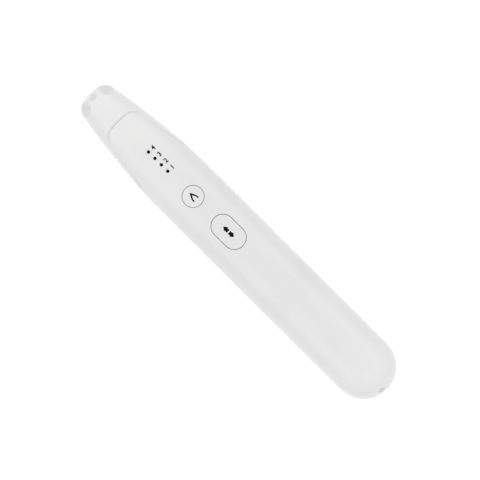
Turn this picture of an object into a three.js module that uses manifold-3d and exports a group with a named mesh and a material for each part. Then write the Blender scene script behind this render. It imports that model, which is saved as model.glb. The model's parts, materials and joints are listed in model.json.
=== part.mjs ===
// Wand microchip reader: a slim handheld radio reader for the implanted chips of pets.
// Millimetres, +Z up. The wand lies on its flat underside with its keys up, its tip towards -X and its tail
// towards +X. Stations are distances from the tip along the wand.
import * as THREE from "three";
import { mergeVertices } from "three/addons/utils/BufferGeometryUtils.js";
import Module from "manifold-3d";

const wasm = await Module();
wasm.setup();

// ---- Driving dimensions ----
const wandLength = 170;
const halfWidth = 13.3;
const halfHeight = 10.5;
const axisHeight = halfHeight; // the wand's axis above the surface it lies on
const bottomDepth = 10.9; // half height of the lower section before its underside is cut flat
const wall = 1.6;
const topPower = 2.4; // superellipse powers of the section
const bottomPower = 2.6;

const taperEnd = 58; // station where the tapered front reaches full section
const taperPower = 2.21;
const widthShrink = 0.416; // share of the width lost at the tip
const heightShrink = 0.33;
const tipRound = 5;
const tipPower = 2.5;
const tailRound = halfWidth;

const seamGap = 0.24; // open parting line between the shells
const panelFront = 16.95; // station of the raised panel's front edge
const panelCorner = 9; // length of its rounded corner
const cornerPower = 2.7;
const panelEdge = THREE.MathUtils.degToRad(39); // its side edge above the equator
const edgeFadeStart = 26; // where that edge starts down to the parting line, and where it meets it
const edgeFadeEnd = 62;
const panelGap = 0.3;
const noseStep = 0.35; // how far the nose lies below the panel
const noseEnd = 41.5;
const tongueReach = 4.5;

const scallopCount = 8;
const scallopRadius = 5;
const scallopDepth = 0.7;
const scallopStation = 2.6;

const scanKeyStation = 59.5;
const scanKeyRadius = 4.42;
const modeKeyStation = 79.7;
const modeKeyLength = 16;
const modeKeyWidth = 9.56;
const keyGap = 0.25;
const keyProud = 0.12; // the keys stand this far above the panel

const lampCount = 4;
const lampFirst = 34.15;
const lampPitch = 3.65;
const lampRadius = 0.65;

const boardBottom = 15.6;
const boardTop = 16.6;
const rodHeight = 10.2; // the antenna rod's axis
const rodRadius = 4;

const panelFrontEnd = panelFront + panelCorner;
const pivotHeight = 18.3;
const pivotRadius = 0.6;
const pivotBore = 0.7;

// Case screws: station and distance from the centre line.
const caseScrews = { front: [49.5, 8.2], rear: [157, 7.4] };
const boardScrews = [49.3, 93, 140];

// The charging socket looks out of the tail under the parting line, the charge window above it.
const socket = { width: 8.94, height: 3.2, middle: 7.8, mouth: 168.4, length: 7 };
const chargeWindow = { radius: 1.1, y: -1.7, z: 15.3, start: 160.4 };

const sliver = 0.004; // cuts leave nothing finer than this on a solid

const station = (d) => d - wandLength / 2;

// ---- The skin: one rule gives every outer and inner surface of the case ----

const smooth = (a, b, v) => THREE.MathUtils.smoothstep(v, a, b);
const powerOf = (v, power) => Math.sign(v) * Math.abs(v) ** power;
const taper = (d, shrink) => 1 - shrink * Math.max(0, 1 - d / taperEnd) ** taperPower;

// A point on the skin at a station and an angle round the axis, taken in by inset and lifted by lift.
function skin(d, angle, inset, lift = 0) {
  const tip = Math.max(0, 1 - d / tipRound);
  const tail = Math.max(0, 1 - (wandLength - d) / tailRound);
  const round = (1 - tip ** tipPower) ** (1 / tipPower) * Math.sqrt(Math.max(0, 1 - tail * tail));
  const up = Math.sin(angle) >= 0;
  const power = 2 / (up ? topPower : bottomPower);
  const width = (halfWidth * taper(d, widthShrink) - inset) * round;
  const height = ((up ? halfHeight : bottomDepth) * taper(d, heightShrink) - inset) * round;
  const z = axisHeight + lift + height * powerOf(Math.sin(angle), power);
  return new THREE.Vector3(
    station(d) + inset * (tip - tail),
    width * powerOf(Math.cos(angle), power),
    Math.max(z, inset),
  );
}

// The panel's edge: the station of its front edge across s = -1 to 1, and its side edge's angle along the wand.
const frontEdge = (s) =>
  panelFront + panelCorner * (1 - (1 - Math.abs(s) ** cornerPower) ** (1 / cornerPower));
const sideEdge = (d) => panelEdge * (1 - smooth(edgeFadeStart, edgeFadeEnd, d));

// The same edge on the pieces around the panel, kept clear of it by the panel gap.
const sideGap = panelGap / 10.5;
const outerEdge = (d) =>
  sideEdge(d) * (1 - (sideGap / panelEdge) * smooth(panelFront, panelFront + panelCorner / 2, d));

const overTop = (d, s, edge) => Math.PI / 2 - s * (Math.PI / 2 - edge(d));
const roundBottom = (d, s, edge) => edge(d) - ((s + 1) / 2) * (Math.PI + 2 * edge(d));
const noseInset = (d) => noseStep * (1 - smooth(edgeFadeStart, noseEnd, d));

// ---- Solids ----

// A BufferGeometry as a manifold-3d solid, and back.
function solid(geometry) {
  const bare = geometry.clone();
  bare.deleteAttribute("normal");
  bare.deleteAttribute("uv");
  const merged = mergeVertices(bare, 1e-4);
  const mesh = new wasm.Mesh({
    numProp: 3,
    vertProperties: new Float32Array(merged.attributes.position.array),
    triVerts: new Uint32Array(merged.index.array),
  });
  return new wasm.Manifold(mesh);
}

function geometryOf(made) {
  const mesh = made.simplify(sliver).getMesh();
  return new THREE.BufferGeometry()
    .setAttribute("position", new THREE.BufferAttribute(new Float32Array(mesh.vertProperties), 3))
    .setIndex(new THREE.BufferAttribute(new Uint32Array(mesh.triVerts), 1));
}

const joined = (first, ...rest) => rest.reduce((all, one) => all.add(one), first);
const carved = (first, ...rest) => rest.reduce((all, one) => all.subtract(one), first);

// A closed wall between an outer and an inner skin. Each patch is a grid of [station, angle] points.
function shellWall(patches, outer, inner) {
  const indexOf = new Map();
  const outside = [];
  const inside = [];
  const faces = [];
  for (const { rows, columns, at } of patches) {
    const grid = [];
    for (let i = 0; i <= rows; i++) {
      for (let j = 0; j <= columns; j++) {
        const [d, angle] = at(i / rows, (2 * j) / columns - 1);
        const point = outer(d, angle);
        const key = point.toArray().map((v) => Math.round(v * 2000)).join();
        if (!indexOf.has(key)) {
          indexOf.set(key, outside.length);
          outside.push(point);
          inside.push(inner(d, angle));
        }
        grid.push(indexOf.get(key));
      }
    }
    for (let i = 0; i < rows; i++) {
      for (let j = 0; j < columns; j++) {
        const a = i * (columns + 1) + j;
        const corners = [a, a + 1, a + columns + 2, a + columns + 1].map((n) => grid[n]);
        faces.push([corners[2], corners[1], corners[0]], [corners[3], corners[2], corners[0]]);
      }
    }
  }
  const kept = faces.filter(([a, b, c]) => a !== b && b !== c && c !== a);
  return wallGeometry(outside, inside, kept);
}

// Joins the outer faces, the turned inner faces and a rim along every free edge.
function wallGeometry(outside, inside, faces) {
  const count = outside.length;
  const index = [];
  const edges = new Set();
  for (const [a, b, c] of faces) {
    index.push(a, b, c, a + count, c + count, b + count);
    [[a, b], [b, c], [c, a]].forEach((edge) => edges.add(edge.join()));
  }
  for (const edge of edges) {
    const [a, b] = edge.split(",").map(Number);
    if (!edges.has([b, a].join())) index.push(b, a, a + count, b, a + count, b + count);
  }
  const positions = [...outside, ...inside].flatMap((point) => point.toArray());
  return new THREE.BufferGeometry()
    .setAttribute("position", new THREE.Float32BufferAttribute(positions, 3))
    .setIndex(index);
}

// The whole body as one filled solid, taken in by inset, between two stations.
function filledBody(inset, rows = 40, columns = 40) {
  const points = [];
  const index = [];
  for (let i = 0; i <= rows; i++) {
    const share = (1 - Math.cos((Math.PI * i) / rows)) / 2;
    for (let j = 0; j < columns; j++) {
      points.push(...skin(share * wandLength, (2 * Math.PI * j) / columns, inset).toArray());
    }
  }
  for (let i = 0; i < rows; i++) {
    for (let j = 0; j < columns; j++) {
      const next = (j + 1) % columns;
      const corners = [i * columns + j, i * columns + next, (i + 1) * columns + next, (i + 1) * columns + j];
      index.push(corners[0], corners[1], corners[2], corners[0], corners[2], corners[3]);
    }
  }
  return new THREE.BufferGeometry()
    .setAttribute("position", new THREE.Float32BufferAttribute(points, 3))
    .setIndex(index);
}

// Simple shapes in place. Boxes are given by their low and high stations, sides and heights.
function box([d0, d1], [y0, y1], [z0, z1]) {
  return new THREE.BoxGeometry(d1 - d0, y1 - y0, z1 - z0).translate(
    station((d0 + d1) / 2),
    (y0 + y1) / 2,
    (z0 + z1) / 2,
  );
}

function upright(radius, [z0, z1], d, y, sides = 20) {
  return new THREE.CylinderGeometry(radius, radius, z1 - z0, sides)
    .rotateX(Math.PI / 2)
    .translate(station(d), y, (z0 + z1) / 2);
}

function crosswise(radius, halfSpan, d, z, sides = 16) {
  return new THREE.CylinderGeometry(radius, radius, 2 * halfSpan, sides).translate(station(d), 0, z);
}

function lengthwise(radius, [d0, d1], z, sides = 24) {
  return new THREE.CylinderGeometry(radius, radius, d1 - d0, sides)
    .rotateZ(Math.PI / 2)
    .translate(station((d0 + d1) / 2), 0, z);
}

// A body turned round the vertical, or round the wand's own line, from a closed [radius, height] profile.
function turned(profile, sides) {
  const points = profile.map(([r, h]) => new THREE.Vector2(r, h));
  return new THREE.LatheGeometry(points, sides).rotateX(Math.PI / 2);
}

// A slot with round ends along the wand, between two heights.
function slotPrism(length, width, [z0, z1], d, arcSteps = 12) {
  const radius = width / 2;
  const reach = length / 2 - radius;
  const outline = new THREE.Shape();
  outline.absarc(reach, 0, radius, -Math.PI / 2, Math.PI / 2);
  outline.absarc(-reach, 0, radius, Math.PI / 2, (3 * Math.PI) / 2);
  return new THREE.ExtrudeGeometry(outline, {
    depth: z1 - z0,
    bevelEnabled: false,
    curveSegments: arcSteps,
  }).translate(station(d), 0, z0);
}

// A wire of one radius through a list of points.
function wire(points, radius, steps) {
  const section = new THREE.Shape();
  section.absarc(0, 0, radius, 0, 2 * Math.PI);
  const route = points.map(([d, y, z]) => new THREE.Vector3(station(d), y, z));
  return new THREE.ExtrudeGeometry(section, {
    steps,
    curveSegments: 4,
    bevelEnabled: false,
    extrudePath: new THREE.CatmullRomCurve3(route),
  });
}

// ---- Case ----

const screwPlaces = Object.values(caseScrews).flatMap(([d, y]) => [[d, y], [d, -y]]);
const lampStations = Array.from({ length: lampCount }, (_, i) => lampFirst + i * lampPitch);
const lowerLift = -seamGap / 2;

// Stations from a start to the tail's end: close along the taper, wide along the plain middle, and evenly
// turned round the tail.
function toTail(start, t) {
  const plainEnd = wandLength - tailRound;
  if (t < 0.45) return start + ((taperEnd - start) * t) / 0.45;
  if (t < 0.6) return taperEnd + ((plainEnd - taperEnd) * (t - 0.45)) / 0.15;
  return plainEnd + tailRound * Math.sin((Math.PI / 2) * ((t - 0.6) / 0.4));
}

function upperShell() {
  const lift = seamGap / 2;
  const at = (t, s) => {
    const d = toTail(frontEdge(s), t);
    return [d, overTop(d, s, sideEdge)];
  };
  const shell = solid(
    shellWall(
      [{ rows: 20, columns: 18, at }],
      (d, a) => skin(d, a, 0, lift),
      (d, a) => skin(d, a, wall, lift),
    ),
  );
  const roof = solid(filledBody(wall / 2));
  const bosses = [
    ...screwPlaces.map(([d, y]) => upright(2.2, [11, 20], d, y, 16)),
    ...boardScrews.map((d) => upright(1.8, [boardTop + 0.05, 20], d, 0, 14)),
    ...[-1, 1].map((side) => {
      const [near, far] = [modeKeyWidth / 2 + keyGap + 0.1, 6.9].map((v) => v * side);
      const span = [Math.min(near, far), Math.max(near, far)];
      return box([modeKeyStation - 1.4, modeKeyStation + 1.4], span, [17.2, 19.6]);
    }),
  ].map((geometry) => solid(geometry).intersect(roof));
  const cuts = [
    upright(scanKeyRadius + keyGap, [17, 23], scanKeyStation, 0, 40),
    slotPrism(modeKeyLength + 2 * keyGap, modeKeyWidth + 2 * keyGap, [17, 23], modeKeyStation),
    crosswise(pivotBore, 6.8, modeKeyStation, pivotHeight),
    ...lampStations.map((d) => upright(lampRadius + 0.15, [17, 23], d, 0, 12)),
    ...screwPlaces.map(([d, y]) => upright(1.15, [10, 16], d, y, 12)),
    ...boardScrews.map((d) => upright(0.95, [16, 18.6], d, 0, 10)),
    windowPin(chargeWindow.radius + 0.15, [162, 175]),
  ].map(solid);
  return geometryOf(carved(joined(shell, ...bosses), ...cuts));
}

// A round bar along the wand where the charge window sits.
function windowPin(radius, [d0, d1]) {
  return new THREE.CylinderGeometry(radius, radius, d1 - d0, 16)
    .rotateZ(Math.PI / 2)
    .translate(station((d0 + d1) / 2), chargeWindow.y, chargeWindow.z);
}

// A prism with round ends, lying across the wand at the socket's height, between two stations.
function socketPrism(width, height, [d0, d1]) {
  return slotPrism(width, height, [0, d1 - d0], 0, 8)
    .translate(-station(0), 0, 0)
    .rotateZ(Math.PI / 2)
    .rotateY(Math.PI / 2)
    .translate(station(d0), 0, socket.middle);
}

function lowerShell() {
  const start = noseEnd + panelGap;
  const at = (t, s) => {
    const d = toTail(start, t);
    return [d, roundBottom(d, s, outerEdge)];
  };
  const shell = solid(
    shellWall(
      [{ rows: 20, columns: 24, at }],
      (d, a) => skin(d, a, 0, lowerLift),
      (d, a) => skin(d, a, wall, lowerLift),
    ),
  );
  const inner = solid(filledBody(wall / 2));
  const pillars = screwPlaces.map(([d, y]) => upright(2.2, [1, 10.7], d, y, 16));
  const ribs = [96, 150.5].map((d) => box([d - 0.6, d + 0.6], [-6, 6], [1, 6]));
  const bodies = [...pillars, ...ribs].map((geometry) => solid(geometry).intersect(inner));
  const cuts = screwPlaces.flatMap(([d, y]) => [
    upright(1.2, [-1, 11], d, y, 12),
    upright(2.2 - 0.1, [-1, 4.4], d, y, 16),
  ]);
  cuts.push(socketPrism(socket.width + 0.7, socket.height + 0.6, [165, 172]));
  return geometryOf(carved(joined(shell, ...bodies), ...cuts.map(solid)));
}

// The nose: closed in front of the panel, open under it, with scallops round its tip.
function noseCap() {
  const shared = panelFrontEnd - panelGap;
  const over = (t, s) => {
    const d = (frontEdge(s) - panelGap) * t ** 1.6;
    return [d, overTop(d, s, outerEdge)];
  };
  const turn = 0.6; // share of the lower rows that lie beside the closed front
  const under = (t, s) => {
    const front = Math.min(1, t / turn);
    const d = shared * front ** 1.6 + (noseEnd - shared) * Math.max(0, (t - turn) / (1 - turn));
    return [d, roundBottom(d, s, outerEdge)];
  };
  const shell = solid(
    shellWall(
      [
        { rows: 10, columns: 12, at: over },
        { rows: 16, columns: 20, at: under },
      ],
      (d, a) => skin(d, a, noseInset(d), lowerLift),
      (d, a) => skin(d, a, noseInset(d) + wall, lowerLift),
    ),
  );
  const tongue = (from, to, outer, inner) => {
    const at = (t, s) => {
      const d = from + (to - from) * t;
      return [d, roundBottom(d, 0.97 * s, outerEdge)];
    };
    return solid(
      shellWall(
        [{ rows: 2, columns: 20, at }],
        (d, a) => skin(d, a, outer, lowerLift),
        (d, a) => skin(d, a, inner, lowerLift),
      ),
    );
  };
  const slab = solid(box([7.2, 9.4], [-12, 12], [0, 22])).intersect(solid(filledBody(1.2)));
  const seat = slab.subtract(solid(lengthwise(rodRadius + 0.2, [6, 11], rodHeight)));
  const reach = tongue(noseEnd - 3, noseEnd + tongueReach, wall + 0.3, wall + 1.2);
  const collar = tongue(noseEnd - 3.5, noseEnd - 1.5, wall - 0.5, wall + 1.2);
  return geometryOf(carved(joined(shell, collar, reach, seat), ...scallops()));
}

function scallops() {
  return Array.from({ length: scallopCount }, (_, i) => {
    const angle = (i * 2 * Math.PI) / scallopCount;
    const here = skin(scallopStation, angle, noseStep);
    const along = skin(scallopStation + 0.05, angle, noseStep).sub(here);
    const around = skin(scallopStation, angle + 0.01, noseStep).sub(here);
    const outward = around.cross(along).normalize();
    const centre = here.addScaledVector(outward, scallopRadius - scallopDepth);
    return solid(new THREE.SphereGeometry(scallopRadius, 16, 11).translate(...centre.toArray()));
  });
}

// A silicone band inside the parting line, from behind the nose round the tail.
function seamSeal() {
  const outerInset = wall + 0.45;
  const innerInset = wall + 1.05;
  const [low, high] = [9.7, 11.5];
  const route = (inset, side, t) => {
    const { x, y } = skin(toTail(47, t), 0, inset);
    return new THREE.Vector2(x, side * y);
  };
  const steps = Array.from({ length: 25 }, (_, i) => i / 24);
  const loop = (inset) => [
    ...steps.map((t) => route(inset, 1, t)),
    ...steps.slice(0, -1).reverse().map((t) => route(inset, -1, t)),
  ];
  const outline = new THREE.Shape([...loop(outerInset), ...loop(innerInset).reverse()]);
  return new THREE.ExtrudeGeometry(outline, { depth: high - low, bevelEnabled: false }).translate(0, 0, low);
}

// ---- Keys and lamps ----

function scanKey() {
  const crown = solid(upright(scanKeyRadius, [18.4, 23], scanKeyStation, 0, 40)).intersect(
    solid(filledBody(-keyProud)),
  );
  const flange = solid(upright(5.5, [18, 18.6], scanKeyStation, 0, 32));
  const stem = solid(upright(1.3, [17.12, 18.2], scanKeyStation, 0, 14));
  return geometryOf(joined(crown, flange, stem));
}

function modeKey() {
  const plate = solid(slotPrism(modeKeyLength, modeKeyWidth, [19.1, 23], modeKeyStation)).intersect(
    solid(filledBody(-keyProud)),
  );
  const lugs = [[-4.6, -3.1], [3.1, 4.6]].map((span) =>
    box([modeKeyStation - 1.3, modeKeyStation + 1.3], span, [17.45, 19.3]),
  );
  const feet = [-1, 1].map((end) => upright(1.2, [17.12, 19.3], modeKeyStation + end * domeOffset, 0, 14));
  const bore = crosswise(pivotBore, 6, modeKeyStation, pivotHeight);
  return geometryOf(carved(joined(plate, ...[...lugs, ...feet].map(solid)), solid(bore)));
}

const domeOffset = 5.3;
function snapDome(d) {
  const [radius, height, sheet] = [3, 0.36, 0.12];
  const arc = (top, from, to) =>
    Array.from({ length: 6 }, (_, i) => {
      const r = from + ((to - from) * i) / 5;
      return [r, top * (1 - (r / radius) ** 2)];
    });
  const over = arc(height + sheet, 0, radius).map(([r, h]) => [r, Math.max(h, sheet)]);
  const under = arc(height, radius, 0).map(([r, h]) => [r, Math.max(h, 0)]);
  return turned([...under.reverse(), ...over.reverse()], 16).translate(station(d), 0, boardTop + 0.02);
}

function lightGuide() {
  const first = lampStations[0];
  const last = lampStations[lampCount - 1];
  const bar = solid(box([first - 1.4, last + 1.4], [-1.3, 1.3], [17.6, 18.4]));
  const body = solid(filledBody(-0.02));
  const posts = lampStations.map((d) =>
    solid(upright(lampRadius, [18.2, 23], d, 0, 12)).intersect(body),
  );
  return geometryOf(joined(bar, ...posts));
}

function chargeWindowPin() {
  const pin = windowPin(chargeWindow.radius, [chargeWindow.start, 175]);
  return geometryOf(solid(pin).intersect(solid(filledBody(0.05))));
}

const lamp = (d) => box([d - 0.8, d + 0.8], [-0.6, 0.6], [boardTop + 0.02, boardTop + 0.72]);

// ---- Circuit board ----

function mainBoard() {
  const outline = new THREE.Shape();
  const corners = [
    [28, 6],
    [46.2, 6],
    [46.2, 5.4],
    [53, 5.4],
    [53.8, 8.6],
    [151, 8.6],
    [153.5, 4.7],
    [160, 4.7],
  ];
  const rim = [...corners, ...corners.toReversed().map(([d, y]) => [d, -y])];
  rim.forEach(([d, y], i) => (i ? outline.lineTo(station(d), y) : outline.moveTo(station(d), y)));
  outline.closePath();
  const depth = boardTop - boardBottom;
  const board = solid(
    new THREE.ExtrudeGeometry(outline, { depth, bevelEnabled: false }).translate(0, 0, boardBottom),
  );
  const holes = boardScrews.map((d) => solid(upright(1.05, [15, 17], d, 0, 12)));
  return geometryOf(carved(board, ...holes));
}

const underBoard = (spanD, spanY, depth) => box(spanD, spanY, [boardBottom - 0.05 - depth, boardBottom - 0.05]);

function buzzer() {
  const top = boardBottom - 0.05;
  const profile = [[0, 1.2], [1.1, 1.2], [1.1, 0], [4.2, 0], [4.5, 0.3], [4.5, 4.2], [0, 4.2]];
  return turned(profile, 24).translate(station(84.5), 0, top - 4.2);
}

// ---- Antenna ----

function alongWand(profile, d, sides = 24) {
  return turned(profile, sides).rotateY(Math.PI / 2).translate(station(d), 0, rodHeight);
}

function coilBobbin() {
  const [bore, barrel, flange, length, lip] = [rodRadius + 0.1, 4.45, 5, 30, 0.9];
  const profile = [
    [bore, 0],
    [flange, 0],
    [flange, lip],
    [barrel, lip],
    [barrel, length - lip],
    [flange, length - lip],
    [flange, length],
    [bore, length],
    [bore, 0],
  ];
  return alongWand(profile, 10.2);
}

const antennaWinding = () =>
  alongWand([[4.5, 0], [4.88, 0], [4.88, 27.8], [4.5, 27.8], [4.5, 0]], 11.3);

function rodCradle() {
  const block = solid(box([52, 55.5], [-4.8, 4.8], [1.8, rodHeight]));
  return geometryOf(block.subtract(solid(lengthwise(rodRadius + 0.15, [51, 57], rodHeight))));
}

const antennaLead = (side) =>
  wire(
    [
      [40.6, -4.95 + side * 0.2, 11.2 + side * 1.2],
      [43, -5.05 + side * 0.5, 12 + side * 0.8],
      [49, -4.95 + side * 0.4, 12.8 + side * 0.3],
      [53.5, -4.4 + side * 0.6, 13.4],
      [56.6, -4 + side * 0.7, 13.6],
    ],
    0.3,
    10,
  );

// ---- Power ----

function batteryCell() {
  const [halfSide, low, high, corner] = [8, 3.2, 10.2, 1.6];
  const section = new THREE.Shape();
  section.absarc(halfSide - corner, high - corner, corner, 0, Math.PI / 2);
  section.absarc(corner - halfSide, high - corner, corner, Math.PI / 2, Math.PI);
  section.absarc(corner - halfSide, low + corner, corner, Math.PI, 1.5 * Math.PI);
  section.absarc(halfSide - corner, low + corner, corner, 1.5 * Math.PI, 2 * Math.PI);
  return new THREE.ExtrudeGeometry(section, { depth: 49.6, curveSegments: 4, bevelEnabled: false })
    .rotateY(Math.PI / 2)
    .rotateX(Math.PI / 2)
    .translate(station(98.7), 0, 0);
}

const batteryLead = (side) =>
  wire(
    [
      [91.3, -4.7 + side * 0.75, 13.7],
      [90.3, -4.7 + side * 0.8, 13.2],
      [89.8, -4.7 + side * 0.9, 11.6],
      [90.8, -4.7 + side * 1, 9.8],
      [93.6, -4.7 + side * 1.2, 8.3],
      [97, -4.7 + side * 1.4, 7.8],
    ],
    0.5,
    10,
  );

// The charging socket: a metal sleeve open at its mouth, the tongue inside it, and the small board under it.
function socketSleeve() {
  const back = socket.mouth - socket.length;
  const outer = solid(socketPrism(socket.width, socket.height, [back, socket.mouth]));
  const hollow = socketPrism(socket.width - 0.6, socket.height - 0.6, [back + 0.4, socket.mouth + 1]);
  return geometryOf(outer.subtract(solid(hollow)));
}

function socketTongue() {
  const { mouth, length, middle } = socket;
  return box([mouth - length + 0.45, mouth - 0.7], [-3.3, 3.3], [middle - 0.35, middle + 0.35]);
}

const socketBoardTop = socket.middle - socket.height / 2 - 0.05;
const onSocketBoard = (spanD, spanY, height) =>
  box(spanD, spanY, [socketBoardTop + 0.05, socketBoardTop + 0.05 + height]);

// The flat cable from the socket's board up to the main board.
function chargeFlex() {
  const middle = [[153.4, 6.6], [152.5, 7], [152.1, 8.2], [152.1, 12.6], [152.4, 13.8], [153.2, 14.4]];
  const thickness = 0.3;
  const sides = [1, -1].map((side) =>
    middle.map(([d, z], i) => {
      const [before, after] = [middle[Math.max(0, i - 1)], middle[Math.min(middle.length - 1, i + 1)]];
      const along = new THREE.Vector2(after[0] - before[0], after[1] - before[1]).normalize();
      const off = (side * thickness) / 2;
      return new THREE.Vector2(station(d) - along.y * off, z + along.x * off);
    }),
  );
  const outline = new THREE.Shape([...sides[0], ...sides[1].reverse()]);
  return new THREE.ExtrudeGeometry(outline, { depth: 6, bevelEnabled: false })
    .rotateX(Math.PI / 2)
    .translate(0, 3, 0);
}

// ---- Fasteners ----

// A screw standing head down, its head's underside at height seat.
function screw(d, y, seat, [headRadius, headHeight, shankRadius, length]) {
  const profile = [
    [0, -headHeight + 0.5],
    [0.9 * shankRadius, -headHeight + 0.5],
    [0.9 * shankRadius, -headHeight],
    [headRadius - 0.2, -headHeight],
    [headRadius, -headHeight + 0.3],
    [headRadius, 0],
    [shankRadius, 0],
    [shankRadius, length - shankRadius],
    [0.2 * shankRadius, length],
    [0, length],
  ];
  return turned(profile, 12).translate(station(d), y, seat);
}

const caseScrew = (d, y) => screw(d, y, 4.35, [1.95, 1.3, 1, 10]);
const boardScrew = (d) => screw(d, 0, boardBottom - 0.05, [1.55, 1, 0.8, 2.8]);

// ---- Assembly ----

const finish = (color, roughness, metalness = 0) =>
  new THREE.MeshStandardMaterial({ color, roughness, metalness });
const shellPlastic = finish(0xe4e4e3, 0.42);
const keyPlastic = finish(0xe6e6e5, 0.4);
const smokedPlastic = finish(0x0b0b0c, 0.2);
const blackPlastic = finish(0x1b1b1d, 0.5);
const naturalPlastic = finish(0xe9e4d6, 0.5);
const silicone = finish(0xbfc1c2, 0.7);
const boardGreen = finish(0x14583a, 0.35);
const ferrite = finish(0x3a3a3e, 0.6);
const copper = finish(0xb4642d, 0.3, 1);
const steel = finish(0xb9bcc0, 0.3, 1);
const foil = finish(0xb4b8bd, 0.4, 0.6);
const foam = finish(0x55585c, 0.95);
const redSleeve = finish(0xb3261e, 0.5);
const blackSleeve = finish(0x161616, 0.5);
const lampResin = finish(0xf2efc8, 0.3);
const amberFilm = finish(0xb9741c, 0.35);

const wand = new THREE.Group();

function add(name, geometry, material) {
  const mesh = new THREE.Mesh(geometry, material);
  mesh.name = name;
  wand.add(mesh);
}

add("upper_shell", upperShell(), shellPlastic);
add("lower_shell", lowerShell(), shellPlastic);
add("nose_cap", noseCap(), shellPlastic);
add("seam_seal", seamSeal(), silicone);

add("scan_key", scanKey(), keyPlastic);
add("mode_key", modeKey(), keyPlastic);
add("mode_key_pin", crosswise(pivotRadius, 6.6, modeKeyStation, pivotHeight), steel);
add("scan_dome", snapDome(scanKeyStation), steel);
add("mode_dome_front", snapDome(modeKeyStation - domeOffset), steel);
add("mode_dome_rear", snapDome(modeKeyStation + domeOffset), steel);
add("light_guide", lightGuide(), smokedPlastic);
lampStations.forEach((d, i) => add(`lamp_${lampCount - i}`, lamp(d), lampResin));

add("main_board", mainBoard(), boardGreen);
add("reader_chip", underBoard([68.5, 73.5], [-6.6, -2.6], 1.3), blackPlastic);
add("processor_chip", underBoard([71, 77], [0.8, 6.8], 0.9), blackPlastic);
add("crystal_can", underBoard([75.2, 78.4], [-6, -3.5], 0.8), steel);
add("charger_chip", onSocketBoard([156.4, 159.4], [-1.5, 1.5], 0.9), blackPlastic);
add("radio_module", underBoard([102, 118], [-6, 6], 0.8), boardGreen);
add("radio_shield", box([106, 117], [-5, 5], [boardBottom - 2.6, boardBottom - 0.9]), steel);
add("buzzer", buzzer(), blackPlastic);

add("ferrite_rod", lengthwise(rodRadius, [7.6, 56.4], rodHeight), ferrite);
add("coil_bobbin", coilBobbin(), naturalPlastic);
add("antenna_winding", antennaWinding(), copper);
add("rod_cradle", rodCradle(), naturalPlastic);
add("tuning_capacitor", underBoard([61, 68], [1.4, 4.4], 4.9), naturalPlastic);
add("antenna_lead_start", antennaLead(-1), copper);
add("antenna_lead_end", antennaLead(1), copper);
add("antenna_plug", box([56.8, 59.7], [-6.4, -1.6], [12.4, 15.1]), naturalPlastic);
add("antenna_header", underBoard([59.8, 64], [-6.8, -1.2], 3.4), naturalPlastic);

add("battery_cell", batteryCell(), foil);
add("battery_foam", box([101, 146], [-5.2, 5.2], [1.75, 3.1]), foam);
add("protection_board", box([97.1, 97.9], [-7, 7], [6.4, 9.9]), boardGreen);
add("battery_lead_positive", batteryLead(-1), redSleeve);
add("battery_lead_negative", batteryLead(1), blackSleeve);
add("battery_plug", box([91.6, 94.5], [-7.1, -2.3], [12.4, 15.1]), naturalPlastic);
add("battery_header", underBoard([94.6, 98.8], [-7.5, -1.9], 3.4), naturalPlastic);
add("charge_lamp", underBoard([158.4, 159.9], [-2.4, -1], 0.8), lampResin);
add("charge_window", chargeWindowPin(), smokedPlastic);
add("charge_flex", chargeFlex(), amberFilm);
add("flex_header", underBoard([153.3, 156.5], [-3.6, 3.6], 1.6), naturalPlastic);
add("socket_board", box([153, 164.8], [-4.9, 4.9], [socketBoardTop - 1, socketBoardTop]), boardGreen);
add("socket_sleeve", socketSleeve(), steel);
add("socket_tongue", socketTongue(), blackPlastic);

for (const [row, [d, y]] of Object.entries(caseScrews)) {
  add(`case_screw_${row}_left`, caseScrew(d, y), steel);
  add(`case_screw_${row}_right`, caseScrew(d, -y), steel);
}
boardScrews.forEach((d, i) => add(`board_screw_${i + 1}`, boardScrew(d), steel));

export default wand;
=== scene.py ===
import json
import math

import bmesh
import bpy
from mathutils import Matrix, Vector

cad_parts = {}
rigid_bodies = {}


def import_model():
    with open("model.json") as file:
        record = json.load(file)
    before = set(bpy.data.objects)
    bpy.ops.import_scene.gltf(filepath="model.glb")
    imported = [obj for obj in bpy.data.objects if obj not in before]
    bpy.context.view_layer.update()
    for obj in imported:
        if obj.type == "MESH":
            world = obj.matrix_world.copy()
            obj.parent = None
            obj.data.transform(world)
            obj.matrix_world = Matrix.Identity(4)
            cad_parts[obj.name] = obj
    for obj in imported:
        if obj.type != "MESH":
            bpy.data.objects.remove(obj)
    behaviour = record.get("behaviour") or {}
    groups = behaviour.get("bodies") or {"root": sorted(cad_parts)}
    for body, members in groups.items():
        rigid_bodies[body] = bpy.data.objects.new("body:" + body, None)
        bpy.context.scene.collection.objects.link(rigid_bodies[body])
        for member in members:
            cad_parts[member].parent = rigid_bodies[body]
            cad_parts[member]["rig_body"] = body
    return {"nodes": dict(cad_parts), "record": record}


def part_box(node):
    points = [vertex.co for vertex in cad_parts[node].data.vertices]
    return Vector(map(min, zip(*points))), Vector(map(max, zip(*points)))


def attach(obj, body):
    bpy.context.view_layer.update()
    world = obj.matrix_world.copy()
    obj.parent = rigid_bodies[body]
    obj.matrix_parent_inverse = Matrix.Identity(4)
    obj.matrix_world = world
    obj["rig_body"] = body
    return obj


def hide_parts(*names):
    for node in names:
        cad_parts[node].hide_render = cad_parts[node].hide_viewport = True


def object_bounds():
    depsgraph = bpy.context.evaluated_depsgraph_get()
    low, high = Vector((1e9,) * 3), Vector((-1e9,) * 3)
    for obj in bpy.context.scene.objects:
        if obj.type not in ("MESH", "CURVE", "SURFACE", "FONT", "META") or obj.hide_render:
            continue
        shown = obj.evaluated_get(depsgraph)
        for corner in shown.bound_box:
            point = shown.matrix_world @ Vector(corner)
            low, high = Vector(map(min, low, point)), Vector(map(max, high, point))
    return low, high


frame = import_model()
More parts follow.
